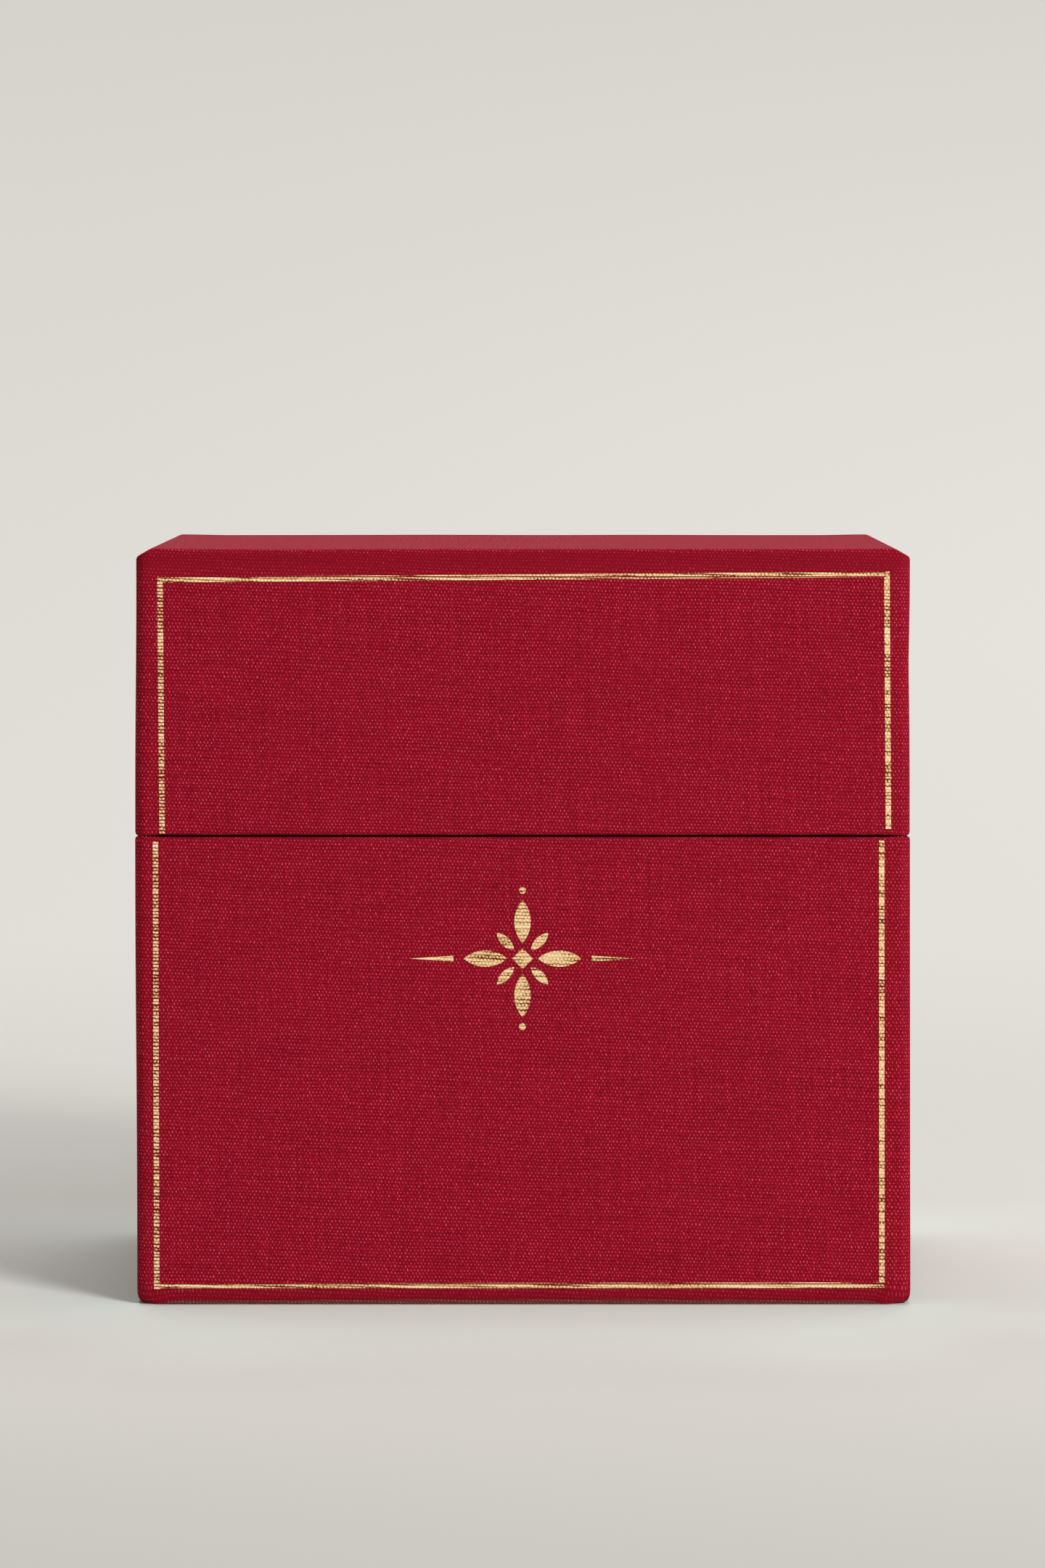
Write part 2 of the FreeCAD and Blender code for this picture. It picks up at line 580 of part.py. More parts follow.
def makeOrnament():
    """A bookbinder's flower: a lozenge, four petals, four leaves, a tapering rule each side and two dots."""
    body = newBody("foil_ornament", "0", "-boxDepth / 2", "ornamentHeight")
    body.AllowCompound = True
    middlePart = newSketch(body, "XZ_Plane")
    drawOutline(middlePart, [("0", "-lozengeReach"), ("lozengeReach", "0"), ("0", "lozengeReach"),
                             ("-lozengeReach", "0")])
    pad(body, middlePart, "foilThickness")
    petalRing(body, "petalStart", "petalLength", "petalWidth", False)
    petalRing(body, "leafStart", "leafLength", "leafWidth", True)
    rules = newSketch(body, "XZ_Plane")
    for side in ("-1", "1"):
        root, tip = f"{side} * ruleStart", f"{side} * (ruleStart + ruleLength)"
        drawOutline(rules, [(root, "-ruleWidth / 2"), (tip, "0"), (root, "ruleWidth / 2")])
    pad(body, rules, "foilThickness")
    dots = newSketch(body, "XZ_Plane")
    for place, side in enumerate((-1, 1)):
        centre = FreeCAD.Vector(0, side * number("dotReach"), 0)
        dots.addGeometry(Part.Circle(centre, FreeCAD.Vector(0, 0, 1), number("dotRadius")), False)
        dots.addConstraint(Sketcher.Constraint("PointOnObject", place, 3, -2))
        hold(dots, "DistanceY", place, 3, f"{side} * dotReach", f"dot{place}")
        index = dots.addConstraint(Sketcher.Constraint("Radius", place, number("dotRadius")))
        dots.renameConstraint(index, f"size{place}")
        dots.setExpression(f"Constraints.size{place}", spelled("dotRadius"))
    pad(body, dots, "foilThickness")


# --------------------------------------------------------------------------------------- the contents
def lean(body):
    """Tips a piece back about its front bottom edge, as it rests in the box."""
    body.Placement.Rotation = FreeCAD.Rotation(FreeCAD.Vector(1, 0, 0), -1)
    body.setExpression("Placement.Rotation.Angle", spelled("-atan(leanTangent)"))


def makeSection(place):
    """Section 1 stands in front. Its divider's front bottom edge is where the section tips."""
    behind = int(sizes["sectionCount"]) - place
    foot = f"rearFoot - sectionThickness * leanSecant - {behind} * sectionPitch"
    tab = f"-cardWidth / 2 + tabWidth / 2 + {place - 1} * tabPitch"

    divider = newBody(f"divider_{place}", "0", foot, "cardFloor")
    card = newSketch(divider, "XZ_Plane")
    left, right = f"{tab} - tabWidth / 2", f"{tab} + tabWidth / 2"
    outline = [("-cardWidth / 2", "0"), ("cardWidth / 2", "0"), ("cardWidth / 2", "cardHeight")]
    if place < int(sizes["sectionCount"]):
        outline.append((right, "cardHeight"))
    outline += [(right, "dividerHeight"), (left, "dividerHeight")]
    if place > 1:
        outline += [(left, "cardHeight"), ("-cardWidth / 2", "cardHeight")]
    drawOutline(card, outline[:2] + outline[2 if place < int(sizes["sectionCount"]) else 3:])
    blank = divider.newObject("PartDesign::Pad", f"divider{place}Pad")
    blank.Profile = card
    blank.Reversed = True
    blank.setExpression("Length", spelled("dividerThickness"))
    doc.recompute()
    high = number("dividerHeight")
    roundEdges(divider, "tabCorner", lambda edge: direction(edge) == "Y" and near(middle(edge).z, high))
    lean(divider)

    pack = newBody(f"cards_{place}", "0", foot, "cardFloor")
    pack.AllowCompound = True
    face = newSketch(pack, "XZ_Plane", "-(dividerThickness + dividerGap)")
    drawOutline(face, [("-cardWidth / 2", "0"), ("cardWidth / 2", "0"), ("cardWidth / 2", "cardHeight"),
                       ("-cardWidth / 2", "cardHeight")])
    single = pack.newObject("PartDesign::Pad", f"cards{place}Pad")
    single.Profile = face
    single.Reversed = True
    single.setExpression("Length", spelled("cardThickness"))
    doc.recompute()
    stack = pack.newObject("PartDesign::LinearPattern", f"cards{place}Stack")
    stack.Originals = [single]
    stack.Direction = (face, ["N_Axis"])
    stack.Reversed = True
    stack.Mode = "Spacing"
    stack.setExpression("Offset", spelled("cardPitch"))
    stack.setExpression("Occurrences", spelled("cardCount"))
    pack.Tip = stack
    doc.recompute()
    lean(pack)
    print(f"section {place} turns about y = {number(foot):.4f}, z = {number('cardFloor'):.4f}")


makeBaseBoards()
makeBaseCover()
makeBackCloth()
makeHingeStrip()
makeFootPlate()
makeNeck()
makeLidBoards()
makeLidCover()
makeLidLinings()
makeFoilLines()
makeOrnament()
for place in range(1, int(sizes["sectionCount"]) + 1):
    makeSection(place)
doc.recompute()

# ------------------------------------------------------------------------------------- check and write
for item in doc.Objects:
    if "Invalid" in item.State or "Error" in item.State:
        raise RuntimeError(f"{item.Label} did not compute: {item.State}")
for body in pieces:
    if body.Shape.isNull() or not body.Shape.isValid():
        raise RuntimeError(f"{body.Label} has no valid shape")

os.makedirs("parts", exist_ok=True)
for body in pieces:
    body.Shape.exportStep(f"parts/{body.Label}.step")
    print(f"{body.Label}: {len(body.Shape.Solids)} solid(s), {body.Shape.Volume:.2f} mm3")
print(f"lean {math.degrees(math.atan(number('leanTangent'))):.4f} degrees, hinge z = {number('hingeHeight'):.4f}")
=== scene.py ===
import bpy
import bmesh
import math
import random
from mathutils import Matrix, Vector, noise


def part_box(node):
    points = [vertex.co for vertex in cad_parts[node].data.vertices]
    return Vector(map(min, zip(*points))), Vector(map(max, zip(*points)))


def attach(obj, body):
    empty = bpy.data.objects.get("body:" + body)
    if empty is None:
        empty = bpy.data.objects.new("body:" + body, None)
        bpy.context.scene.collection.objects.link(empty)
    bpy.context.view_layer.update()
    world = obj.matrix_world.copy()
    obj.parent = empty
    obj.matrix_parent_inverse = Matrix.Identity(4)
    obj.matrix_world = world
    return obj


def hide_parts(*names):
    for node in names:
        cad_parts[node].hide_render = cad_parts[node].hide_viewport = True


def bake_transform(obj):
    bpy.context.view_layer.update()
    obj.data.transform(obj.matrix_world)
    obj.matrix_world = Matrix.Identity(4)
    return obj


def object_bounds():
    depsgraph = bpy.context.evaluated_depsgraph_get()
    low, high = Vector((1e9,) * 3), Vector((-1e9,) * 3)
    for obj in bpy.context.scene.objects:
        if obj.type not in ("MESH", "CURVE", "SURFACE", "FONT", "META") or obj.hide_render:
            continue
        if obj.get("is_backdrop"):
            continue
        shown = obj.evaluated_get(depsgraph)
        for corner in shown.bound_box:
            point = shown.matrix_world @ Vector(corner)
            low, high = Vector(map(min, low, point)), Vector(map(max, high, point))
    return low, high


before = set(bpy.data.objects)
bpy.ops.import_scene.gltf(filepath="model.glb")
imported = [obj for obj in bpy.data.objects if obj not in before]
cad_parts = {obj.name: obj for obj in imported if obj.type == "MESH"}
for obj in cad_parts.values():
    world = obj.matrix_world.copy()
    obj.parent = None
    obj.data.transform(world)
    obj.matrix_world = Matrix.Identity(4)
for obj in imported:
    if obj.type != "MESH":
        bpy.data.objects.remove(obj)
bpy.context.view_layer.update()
mm = 0.001
halfWide, halfDeep = 85, 55  # half the box's width and depth, in millimetres
hingeLevel = 103.3


def paint(red, green, blue):
    # screen colour, 0 to 255, as the linear colour that the shaders take
    def linear(part):
        part /= 255
        return part / 12.92 if part <= 0.04045 else ((part + 0.055) / 1.055) ** 2.4
    return (linear(red), linear(green), linear(blue), 1)


print("camera and lamps")

studio = {
    "cameraPlace": (0.003, -1.345, 0.2058), "tiltDown": 1.25, "lens": 135.03, "shift": (-0.0087, -0.1824),
    "groundColour": (205, 204, 198), "shadedGroundNear": (176, 174, 169), "nearBand": (-480, 60),
    "litGroundFoot": (209, 216, 209), "footBand": (-20, 60),
    "litGroundFront": (220, 230, 222), "frontReach": 105, "frontStart": (40, 55), "frontSides": (55, 110),
    "farLeft": (223, 220, 213), "farRight": (232, 229, 222), "farSpan": (-700, 700),
    "farHigh": (210, 207, 199), "farClimb": (-150, 900), "farStart": 0.3, "farFull": 1.05, "nearPlace": -0.25,
    "skyColour": (224, 224, 222), "skyLight": 0.36,
    "keyPlace": (1.4, -1.79, 1.14), "keySize": 0.88, "keyPower": 63,
    "topPlace": (0.1, 0.8, 3.55), "topSize": 3.0, "topPower": 82,
    "flatRadius": 3.0, "sweepRadius": 1.6, "sweepSteps": 16, "wallHeight": 4.0,
}


def softLamp(name, place, size, power, target=(0, 0, 0.08)):
    bpy.ops.object.light_add(type="AREA", location=place)
    lamp = bpy.context.object
    lamp.name = name
    lamp.data.shape = "DISK"
    lamp.data.size = size
    lamp.data.energy = power
    lamp.rotation_euler = (Vector(target) - lamp.location).to_track_quat("-Z", "Y").to_euler()


bpy.ops.object.camera_add(location=studio["cameraPlace"],
                          rotation=(math.radians(90 - studio["tiltDown"]), 0, 0))
camera = bpy.context.object
camera.name = "camera"
camera.data.sensor_width = 36
camera.data.lens = studio["lens"]
camera.data.shift_x, camera.data.shift_y = studio["shift"]
camera.data.clip_end = 50
bpy.context.scene.camera = camera
bpy.context.scene.view_settings.view_transform = "Standard"

softLamp("key_lamp", studio["keyPlace"], studio["keySize"], studio["keyPower"])
softLamp("top_lamp", studio["topPlace"], studio["topSize"], studio["topPower"])


print("finishes")


class Value:
    # a number that varies over a surface, so that shader maths reads as Python
    def __init__(self, finish, socket):
        self.finish, self.socket = finish, socket

    def math(self, operation, *inputs):
        return self.finish.node("ShaderNodeMath", {"operation": operation}, dict(enumerate(inputs)))

    def __add__(self, other):
        return self.math("ADD", self, other)

    def __radd__(self, other):
        return self.math("ADD", other, self)

    def __sub__(self, other):
        return self.math("SUBTRACT", self, other)

    def __rsub__(self, other):
        return self.math("SUBTRACT", other, self)

    def __mul__(self, other):
        return self.math("MULTIPLY", self, other)

    def __neg__(self):
        return self.math("MULTIPLY", self, -1)

    def __pow__(self, other):
        return self.math("POWER", self, other)

    def sine(self):
        return self.math("SINE", self)

    def size(self):
        return self.math("ABSOLUTE", self)

    def part(self, other):
        return self.math("PINGPONG", self, other)

    def atLeast(self, other):
        return self.math("MAXIMUM", self, other)

    def rise(self, low, high):
        # smooth step from 0 at low to 1 at high
        return self.finish.node("ShaderNodeMapRange", {"interpolation_type": "SMOOTHSTEP"},
                                {"Value": self, "From Min": low, "From Max": high})


class Finish:
    sockets = {"colour": "Base Color", "roughness": "Roughness", "metal": "Metallic", "normal": "Normal",
               "sheen": "Sheen Weight", "sheenRoughness": "Sheen Roughness", "sheenTint": "Sheen Tint",
               "gloss": "Specular IOR Level", "alpha": "Alpha"}

    def __init__(self, name, tree=None):
        if tree is None:
            self.material = bpy.data.materials.new(name)
            self.material.use_nodes = True
            tree = self.material.node_tree
        self.tree = tree
        self.tree.nodes.clear()

    def node(self, kind, settings=None, sockets=None, output=0):
        made = self.tree.nodes.new(kind)
        for name, value in (settings or {}).items():
            if name == "stops":
                ramp = made.color_ramp
                while len(ramp.elements) < len(value):
                    ramp.elements.new(0.5)
                for element, (position, colour) in zip(ramp.elements, value):
                    element.position, element.color = position, paint(*colour)
            else:
                setattr(made, name, value)
        for name, value in (sockets or {}).items():
            if isinstance(value, Value):
                self.tree.links.new(value.socket, made.inputs[name])
            else:
                made.inputs[name].default_value = value
        return Value(self, made.outputs[output]) if made.outputs else None

    def along(self, point):
        # the three parts of a point, in millimetres
        split = self.node("ShaderNodeSeparateXYZ", None, {"Vector": point}).socket.node
        return [Value(self, split.outputs[axis]) * 1000 for axis in "XYZ"]

    def place(self):
        return self.along(self.node("ShaderNodeTexCoord", output="Object"))

    def mapped(self, name):
        return self.along(self.node("ShaderNodeUVMap", {"uv_map": name}))[:2]

    def facing(self):
        normal = self.node("ShaderNodeNewGeometry", output="True Normal")
        split = self.node("ShaderNodeSeparateXYZ", None, {"Vector": normal}).socket.node
        return [Value(self, split.outputs[axis]) for axis in "XYZ"]

    def grain(self, x, y, z=0.0, detail=2.0, roughness=0.5):
        # noise round 0.5 that changes about once per unit
        point = self.node("ShaderNodeCombineXYZ", None, {"X": x, "Y": y, "Z": z})
        return self.node("ShaderNodeTexNoise", None,
                         {"Vector": point, "Scale": 1.0, "Detail": detail, "Roughness": roughness})

    def ramp(self, share, stops):
        return self.node("ShaderNodeValToRGB", {"stops": stops}, {"Fac": share})

    def blend(self, share, first, second):
        return self.node("ShaderNodeMix", {"data_type": "RGBA"}, {0: share, 6: first, 7: second}, output=2)

    def bump(self, height, strength, distance):
        return self.node("ShaderNodeBump", None,
                         {"Height": height, "Strength": strength, "Distance": distance})

    def surface(self, **values):
        shader = self.node("ShaderNodeBsdfPrincipled", None,
                           {self.sockets[name]: value for name, value in values.items()})
        self.node("ShaderNodeOutputMaterial", None, {"Surface": shader})
        return self.material


clothLook = {
    # the threads, in millimetres, and how far they stray
    "warpPitch": 0.3931, "weftPitch": 0.7400, "warpLean": 0.0075, "weftLean": 0.0305,
    "wander": 1.6, "jitter": 0.75, "slant": -0.05,
    # how the crowns stand out of the weave
    "crownReach": 0.2, "crownShape": 0.9, "bead": 0.45, "fuzz": 1.4, "low": 0.62, "vary": 0.65,
    "underShare": 0.34, "slub": 0.25, "fibre": 0.75, "relief": 0.65, "depth": 0.12,
    # from the gaps up to the crowns, with painted shade in the gaps and painted highlights on the crowns and
    # their tips, then the darker patches and the painted shade on the folded edges
    "pitShade": (94, 0, 14), "shade": (127, 0, 23), "thread": (162, 9, 39), "crown": (182, 34, 59),
    "tip": (212, 86, 106), "patch": (128, 2, 24), "patchShare": 0.25, "patchRate": 0.018,
    "edgeShade": 0.65, "footBand": (1.5, 4.5), "topBand": (159.5, 163), "topEnd": (165.2, 166.2),
    "sheen": 0.14, "sheenRoughness": 0.3, "sheenTint": (255, 120, 145), "gloss": 0.1,
}


def weave(finish, x, z, look):
    # plain weave: upright threads cross level ones, over and under in turn, none of them quite straight
    def sway(alongRate, upRate, seed):
        return finish.grain(x * alongRate, z * upRate, seed) - 0.5

    across = x * (1 / look["warpPitch"]) + z * (look["warpLean"] / look["warpPitch"])
    up = z * (1 / look["weftPitch"]) + x * (look["weftLean"] / look["weftPitch"])
    across = across + sway(0.09, 0.03, 1.7) * look["wander"] + sway(1.2, 0.9, 4.4) * look["jitter"]
    up = up + sway(0.03, 0.09, 5.3) * look["wander"] + sway(0.9, 1.4, 6.1) * look["jitter"]
    across = across + (up * (2 * math.pi)).sine() * look["slant"]
    beside, row = (across * math.pi).sine(), (up * math.pi).sine()
    crossing = beside * row
    strength = (finish.grain(across * 0.8, up * 0.8, 8.8, detail=1) - 0.36) * 2.0
    slub = finish.grain(across * 0.8, z * 0.05, 3.1) + finish.grain(x * 0.05, up * 0.8, 7.7) * 0.7 - 0.85
    fibre = finish.grain(x * 5, z * 5, 2.2, detail=3) - 0.5
    reach = look["crownReach"]
    crown = ((crossing + reach) * (1 / (1 + reach))).atLeast(0) ** look["crownShape"]
    crown = crown * (row.size() * look["bead"] + (1 - look["bead"])) * (1 + fibre * look["fuzz"])
    under = (-crossing - reach).atLeast(0) * look["underShare"]
    crown = crown * (look["low"] + strength * look["vary"])
    height = crown + under + slub * look["slub"] + fibre * look["fibre"] + 0.04
    return height, crossing, row.size(), fibre


def clothFinish(name, look, mapped):
    finish = Finish(name)
    x, z = finish.mapped("weave") if mapped else finish.place()[::2]
    height = weave(finish, x, z, look)[0]
    # the colour follows the weave's height: painted shade in the gaps between the threads, painted highlights
    # on the crowns and their tips
    shade = finish.ramp(height, [(0.0, look["pitShade"]), (0.2, look["shade"]), (0.45, look["thread"]),
                                 (0.75, look["crown"]), (1.0, look["tip"])])
    rate = look["patchRate"]
    patch = (finish.grain(x * rate, z * rate, 9.0, detail=1) - 0.3) * look["patchShare"]
    # painted shade: the cloth is coloured darker along its folded edges at the foot and round the lid's top
    level = finish.place()[2]
    edges = 1 - level.rise(*look["footBand"]) + level.rise(*look["topBand"]) - level.rise(*look["topEnd"])
    patch = patch + edges * look["edgeShade"]
    return finish.surface(
        colour=finish.blend(patch, shade, paint(*look["patch"])), roughness=0.82 - height * 0.2,
        sheen=look["sheen"], sheenRoughness=look["sheenRoughness"], sheenTint=paint(*look["sheenTint"]),
        gloss=look["gloss"], normal=finish.bump(height, look["relief"], look["depth"] * mm))


foilLook = {
    "ridgeHighlight": (254, 230, 188), "gold": (220, 174, 112), "dull": (150, 100, 48), "hollowShade": (84, 34, 12),
    "cut": (0.2, 0.36), "shine": 0.5, "thin": (0.3, 0.46), "thinEnd": (0.62, 0.72), "line": 1.2,
    "dashBand": (-77, -72), "dash": 0.3, "relief": 0.4,
}


def foilFinish(name, look, cloth, levels, inside):
    # hot foil takes on the ridges of the threads, and the cloth shows in the deepest hollows
    finish = Finish(name)
    x, z = finish.place()[::2]
    crossing, row, fibre = weave(finish, x, z, cloth)[1:]
    worn = finish.grain(x * 0.16, z * 0.16, 12.0, detail=2) - 0.5
    strand = finish.grain(x * 0.07, z * 1.3 + x * 0.04, 15.0, detail=1) - 0.46
    ridge = crossing * 0.2 + row * 0.4 + 0.27 + fibre * 0.6 + worn * 0.5 + strand * 1.1
    # the left upright line is worn into dashes, one to each level thread
    ridge = ridge - (1 - row) * (1 - x.rise(*look["dashBand"])) * look["dash"]
    gilt = ridge.rise(*look["cut"])
    for level in levels:
        # the level lines are struck thinner, but not where they meet the upright ones
        offset = (z - level).size()
        gilt = gilt * (1 - offset.rise(*look["thin"]) * (1 - offset.rise(*look["thinEnd"]))
                       * (1 - x.size().rise(inside - 0.1, inside)))
    # the foil's colour runs from painted shade in its hollows to painted highlights on its ridges
    shine = ridge + finish.grain(x * 2.1, z * 2.1, 4.0) * 0.7 - 0.35
    gold = finish.ramp(shine, [(0.2, look["hollowShade"]), (0.34, look["dull"]), (0.48, look["gold"]),
                               (0.95, look["ridgeHighlight"])])
    finish.material.surface_render_method = "DITHERED"
    return finish.surface(colour=gold, metal=gilt * look["shine"], roughness=0.7 - gilt * 0.32, alpha=gilt,
                          normal=finish.bump(ridge, look["relief"], cloth["depth"] * mm))


paperLook = {
    "wine": {"colour": (92, 16, 28), "dark": (76, 10, 22), "light": (108, 22, 34), "roughness": 0.75},
    "ivory": {"colour": (236, 230, 214), "dark": (226, 218, 198), "light": (244, 240, 228), "roughness": 0.8},
    "buff": {"colour": (206, 178, 136), "dark": (188, 158, 116), "light": (220, 194, 154), "roughness": 0.8},
    "grey": {"colour": (140, 136, 128), "dark": (104, 100, 94), "light": (168, 164, 156), "roughness": 0.9},
}

ruling = {"foot": 8.0, "pitch": 3.175, "edge": (0.06, 0.16), "top": (122, 122.1), "sides": (74.6, 74.8),
          "head": 127, "headEdge": (0.12, 0.24), "blue": (120, 150, 190), "red": (200, 90, 90)}


def paperFinish(name, look, ruled=False):
    finish = Finish(name)
    x, z = finish.place()[::2]
    here = finish.node("ShaderNodeTexCoord", output="Object")
    flock = finish.node("ShaderNodeTexNoise", None, {"Vector": here, "Scale": 2600.0, "Detail": 4.0})
    cloud = finish.node("ShaderNodeTexNoise", None, {"Vector": here, "Scale": 90.0, "Detail": 3.0})
    colour = finish.ramp(flock * 0.7 + cloud * 0.3, [(0.3, look["dark"]), (0.5, look["colour"]),
                                                     (0.7, look["light"])])
    if ruled:
        # feint lines on the faces of the cards, not on their edges
        face = finish.facing()[1].size().rise(0.9, 0.98)
        line = 1 - (z - ruling["foot"]).part(ruling["pitch"]).rise(*ruling["edge"])
        below = 1 - z.rise(*ruling["top"])
        inside = 1 - x.size().rise(*ruling["sides"])
        head = 1 - (z - ruling["head"]).size().rise(*ruling["headEdge"])
        colour = finish.blend(line * face * below * inside * 0.55, colour, paint(*ruling["blue"]))
        colour = finish.blend(head * face * inside * 0.6, colour, paint(*ruling["red"]))
    return finish.surface(colour=colour, roughness=look["roughness"],
                          normal=finish.bump(flock, 0.25, 0.05 * mm))


bookCloth = clothFinish("book_cloth", clothLook, mapped=True)
# the plate's cloth, in duller colours, with the same painted shade in its gaps and painted highlights on its
# crowns
plateLook = dict(clothLook, pitShade=(48, 10, 12), shade=(84, 30, 30), thread=(128, 66, 62), crown=(170, 112, 102),
                 tip=(206, 160, 146), patch=(96, 40, 38), relief=0.6)
plateCloth = clothFinish("plate_cloth", plateLook, mapped=False)
lowLine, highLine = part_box("foil_line_base")[0] / mm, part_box("foil_line_lid")[1] / mm
goldFoil = foilFinish("gold_foil", foilLook, clothLook,
                      [lowLine.z + foilLook["line"] / 2, highLine.z - foilLook["line"] / 2],
                      min(-lowLine.x, highLine.x) - foilLook["line"])
winePaper = paperFinish("wine_paper", paperLook["wine"])
ivoryCard = paperFinish("ivory_card", paperLook["ivory"], ruled=True)
buffCard = paperFinish("buff_card", paperLook["buff"])
greyBoard = paperFinish("grey_board", paperLook["grey"])

for name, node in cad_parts.items():
    node.data.materials.clear()
    if "foil" in name:
        node.data.materials.append(goldFoil)
    elif "cloth" in name or "strip" in name:
        node.data.materials.append(plateCloth)
    elif "paper" in name or name.startswith("neck"):
        node.data.materials.append(winePaper)
    elif name.startswith("cards"):
        node.data.materials.append(ivoryCard)
    elif name.startswith("divider"):
        node.data.materials.append(buffCard)
    else:
        node.data.materials.append(greyBoard)


def only(piece):
    bpy.ops.object.select_all(action="DESELECT")
    piece.select_set(True)
    bpy.context.view_layer.objects.active = piece


def pick(piece, kind, test):
    # in edit mode, selects the corners, edges or faces whose middle and direction pass the test
    bpy.ops.mesh.select_mode(type=kind)
    bpy.ops.mesh.select_all(action="DESELECT")
    form = bmesh.from_edit_mesh(piece.data)
    if kind == "FACE":
        for face in form.faces:
            face.select_set(test(face.calc_center_median() / mm, face.normal))
    elif kind == "EDGE":
        for edge in form.edges:
            a, b = (corner.co for corner in edge.verts)
            edge.select_set(test((a + b) / 2 / mm, (b - a).normalized()))
    else:
        for corner in form.verts:
            corner.select_set(test(corner.co / mm, corner.normal))
    form.select_flush_mode()
    bmesh.update_edit_mesh(piece.data)


def block(name, low, high):
    # a block between two corners, left in edit mode
    low, high = Vector(low), Vector(high)
    bpy.ops.object.select_all(action="DESELECT")
    bpy.ops.mesh.primitive_cube_add(size=1, location=(low + high) / 2)
    piece = bpy.context.object
    piece.name = piece.data.name = name
    piece.scale = high - low
    bpy.ops.object.transform_apply(location=True, rotation=True, scale=True)
    bpy.ops.object.mode_set(mode="EDIT")
    return piece


def cut(point, normal, keep=True):
    # cuts the whole piece along a plane; with keep off, the side that the normal points to goes
    bpy.ops.mesh.select_all(action="SELECT")
    bpy.ops.mesh.bisect(plane_co=Vector(point) * mm, plane_no=normal, use_fill=not keep,
                        clear_outer=not keep, threshold=0.00001)


def slices(low, high, step, fine):
    # places of cuts along a length: fine ones near both ends, even ones between
    places = [low + f for f in fine] + [high - f for f in fine]
    count = int((high - low - 2 * fine[-1]) / step)
    return places + [low + fine[-1] + (high - low - 2 * fine[-1]) * k / count for k in range(1, count)]


def near(a, b, reach=0.02):
    return abs(a - b) < reach


def upright(middle, along):
    return abs(along.z) > 0.9


def lying(middle, along):
    return abs(along.z) < 0.1


def bevel(piece, belongs, radius, segments):
    pick(piece, "EDGE", belongs)
    bpy.ops.mesh.bevel(offset=radius * mm, segments=segments)


def finished(piece, *modifiers):
    only(piece)
    for modifier in modifiers:
        bpy.ops.object.modifier_apply(modifier=modifier.name)


def softEdges(piece, radius, segments, angle):
    # rounds every edge that is sharper than the angle
    soft = piece.modifiers.new("soft", "BEVEL")
    soft.width, soft.segments, soft.limit_method = radius * mm, segments, "ANGLE"
    soft.angle_limit = math.radians(angle)
    return soft


def smooth(piece, angle=35):
    only(piece)
    bpy.ops.object.shade_smooth_by_angle(angle=math.radians(angle))
    weigh = piece.modifiers.new("weigh", "WEIGHTED_NORMAL")
    weigh.keep_sharp = True
    finished(piece, weigh)


print("cloth covers")

cover = {
    # the plain outline, in millimetres
    "baseRim": 103.05, "lidRim": 103.55, "cornerRound": 2.3, "edgeRound": 0.8, "topRound": 0.5,
    "wall": 3.5, "lidWall": 3.0, "cloth": 0.5, "turnIn": 12, "turnUnder": 14, "lap": 7, "lapExtra": 2.2,
    "seamDrop": 8, "bevelRun": 3.4, "bevelDrop": 2.0,
    # how far the cloth strays from it: along the rims, the walls, the corners, the foot and the lid's top
    "flare": 0.3, "flareRight": 0.36, "flareTop": 0.22, "wave": 0.1, "frontWave": 0.16, "uneven": 0.07,
    "lump": 0.24, "sideRoll": 0.3, "footDrop": 1.35, "footRound": 3.0, "footIn": 1.7, "footTurn": 0.97,
    "roll": 1.0, "rollFrom": 5.2, "rollReach": 4, "hang": 0.95, "lip": 0.32, "sag": 0.25,
    # where each of these starts or ends, and over what length
    "sideReach": 5.5, "cornerBand": (6, 6, 4.5), "foldBand": (8.5, 8, 5), "dropBand": (5.2, 3.6),
    "flareRise": (15, 75), "lidFlareFall": (160, 50), "flareTopRise": (125, 35),
    "hangBand": (6, 5), "hangSpan": (20, 50), "lipBand": (162.9, 3.1), "sagSpan": (80, 10),
    # where it is cut for shaping, and the slope above which a face counts as level
    "grid": 4.0, "edgeCuts": (2.2, 3.2, 4.4, 6), "rimCuts": (1.2, 1.7, 2.3, 3.2, 4.4, 6),
    "lipCuts": [164.2, 165.2], "flatShare": 0.72,
}


def around(x, y, wide, deep, radius):
    # distance along the wall from the middle of the front, with its sign
    sign = -1 if x < 0 else 1
    x, straight, front, back = abs(x), wide / 2 - radius, -deep / 2 + radius, deep / 2 - radius
    quarter = radius * math.pi / 2
    if y < front:
        turned = math.atan2(max(x - straight, 0), front - y)
        return sign * (min(x, straight) + radius * turned)
    if y < back or x > straight + radius - 0.4 and y < back:
        return sign * (straight + quarter + y - front)
    if x > straight:
        turned = math.atan2(y - back, x - straight)
        return sign * (straight + quarter + back - front + radius * turned)
    return sign * (straight + 2 * quarter + back - front + straight - x)


